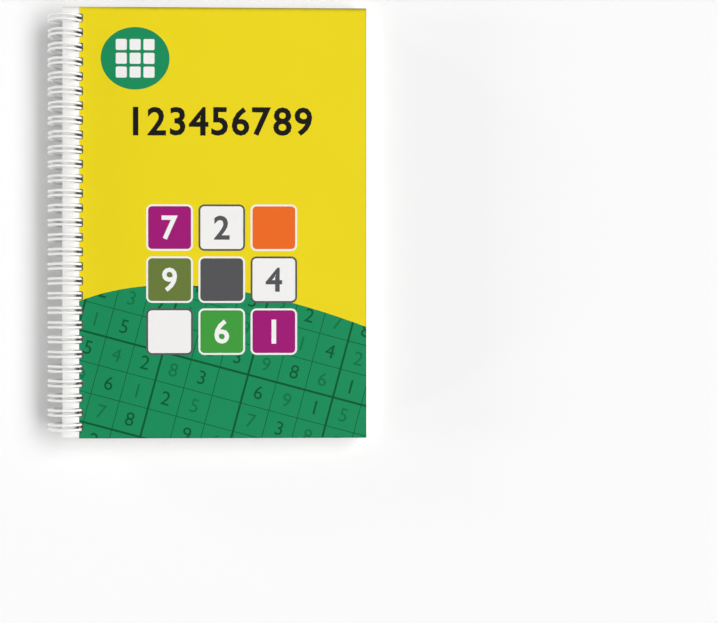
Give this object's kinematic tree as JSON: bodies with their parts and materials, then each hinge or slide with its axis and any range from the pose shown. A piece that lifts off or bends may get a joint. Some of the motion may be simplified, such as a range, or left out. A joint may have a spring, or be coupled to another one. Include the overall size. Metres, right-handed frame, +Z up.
{
  "type": "wire-bound sudoku puzzle book",
  "caption": "Portrait puzzle book with board covers and punched paper leaves on a white twin-loop wire spine; the cover and the leaves turn about the wire.",
  "frame": {"origin": "middle of the footprint of the closed book, on the table that it lies on", "axes": "+Z up, out of the front cover; +Y along the spine towards the head of the book; +X from the spine to the fore-edge"},
  "size_m": [0.1852, 0.25, 0.0216],
  "materials": {
    "coated_wire": "white coated steel wire, satin",
    "front_board": "printed and laminated cover board, yellow and green, satin",
    "back_board": "pale cover board, satin",
    "paper": "uncoated white paper, matte"
  },
  "bodies": {
    "binding": {"wire_binding": "coated_wire", "back_cover": "back_board"},
    "front_cover": {"front_cover": "front_board"},
    "leaf_01": {"leaf_01": "paper"},
    "leaf_02": {"leaf_02": "paper"},
    "leaf_03": {"leaf_03": "paper"},
    "leaf_04": {"leaf_04": "paper"},
    "leaf_05": {"leaf_05": "paper"},
    "leaf_06": {"leaf_06": "paper"},
    "leaf_07": {"leaf_07": "paper"},
    "leaf_08": {"leaf_08": "paper"},
    "section_01": {"section_01": "paper"},
    "section_02": {"section_02": "paper"},
    "section_03": {"section_03": "paper"},
    "section_04": {"section_04": "paper"},
    "section_05": {"section_05": "paper"},
    "section_06": {"section_06": "paper"},
    "section_07": {"section_07": "paper"},
    "section_08": {"section_08": "paper"},
    "section_09": {"section_09": "paper"},
    "section_10": {"section_10": "paper"}
  },
  "joints": [
    {"name": "front_cover_open", "type": "hinge", "parent": "leaf_01", "child": "front_cover", "pos_m": [-0.0823, 0, 0.0109], "axis": [0, -1, 0], "range_deg": [0, 182.8]},
    {"name": "leaf_01_turn", "type": "hinge", "parent": "leaf_02", "child": "leaf_01", "pos_m": [-0.0823, 0, 0.0109], "axis": [0, -1, 0], "range_deg": [0, 180]},
    {"name": "leaf_02_turn", "type": "hinge", "parent": "leaf_03", "child": "leaf_02", "pos_m": [-0.0823, 0, 0.0109], "axis": [0, -1, 0], "range_deg": [0, 180]},
    {"name": "leaf_03_turn", "type": "hinge", "parent": "leaf_04", "child": "leaf_03", "pos_m": [-0.0823, 0, 0.0109], "axis": [0, -1, 0], "range_deg": [0, 180]},
    {"name": "leaf_04_turn", "type": "hinge", "parent": "leaf_05", "child": "leaf_04", "pos_m": [-0.0823, 0, 0.0109], "axis": [0, -1, 0], "range_deg": [0, 180]},
    {"name": "leaf_05_turn", "type": "hinge", "parent": "leaf_06", "child": "leaf_05", "pos_m": [-0.0823, 0, 0.0109], "axis": [0, -1, 0], "range_deg": [0, 180]},
    {"name": "leaf_06_turn", "type": "hinge", "parent": "leaf_07", "child": "leaf_06", "pos_m": [-0.0823, 0, 0.0109], "axis": [0, -1, 0], "range_deg": [0, 180]},
    {"name": "leaf_07_turn", "type": "hinge", "parent": "leaf_08", "child": "leaf_07", "pos_m": [-0.0823, 0, 0.0109], "axis": [0, -1, 0], "range_deg": [0, 180]},
    {"name": "leaf_08_turn", "type": "hinge", "parent": "section_01", "child": "leaf_08", "pos_m": [-0.0823, 0, 0.0109], "axis": [0, -1, 0], "range_deg": [0, 180]},
    {"name": "section_01_turn", "type": "hinge", "parent": "section_02", "child": "section_01", "pos_m": [-0.0823, 0, 0.0109], "axis": [0, -1, 0], "range_deg": [0, 180]},
    {"name": "section_02_turn", "type": "hinge", "parent": "section_03", "child": "section_02", "pos_m": [-0.0823, 0, 0.0109], "axis": [0, -1, 0], "range_deg": [0, 180]},
    {"name": "section_03_turn", "type": "hinge", "parent": "section_04", "child": "section_03", "pos_m": [-0.0823, 0, 0.0109], "axis": [0, -1, 0], "range_deg": [0, 180]},
    {"name": "section_04_turn", "type": "hinge", "parent": "section_05", "child": "section_04", "pos_m": [-0.0823, 0, 0.0109], "axis": [0, -1, 0], "range_deg": [0, 180]},
    {"name": "section_05_turn", "type": "hinge", "parent": "section_06", "child": "section_05", "pos_m": [-0.0823, 0, 0.0109], "axis": [0, -1, 0], "range_deg": [0, 180]},
    {"name": "section_06_turn", "type": "hinge", "parent": "section_07", "child": "section_06", "pos_m": [-0.0823, 0, 0.0109], "axis": [0, -1, 0], "range_deg": [0, 180]},
    {"name": "section_07_turn", "type": "hinge", "parent": "section_08", "child": "section_07", "pos_m": [-0.0823, 0, 0.0109], "axis": [0, -1, 0], "range_deg": [0, 180]},
    {"name": "section_08_turn", "type": "hinge", "parent": "section_09", "child": "section_08", "pos_m": [-0.0823, 0, 0.0109], "axis": [0, -1, 0], "range_deg": [0, 180]},
    {"name": "section_09_turn", "type": "hinge", "parent": "section_10", "child": "section_09", "pos_m": [-0.0823, 0, 0.0109], "axis": [0, -1, 0], "range_deg": [0, 180]},
    {"name": "section_10_turn", "type": "hinge", "parent": "binding", "child": "section_10", "pos_m": [-0.0823, 0, 0.0109], "axis": [0, -1, 0], "range_deg": [0, 180]}
  ]
}
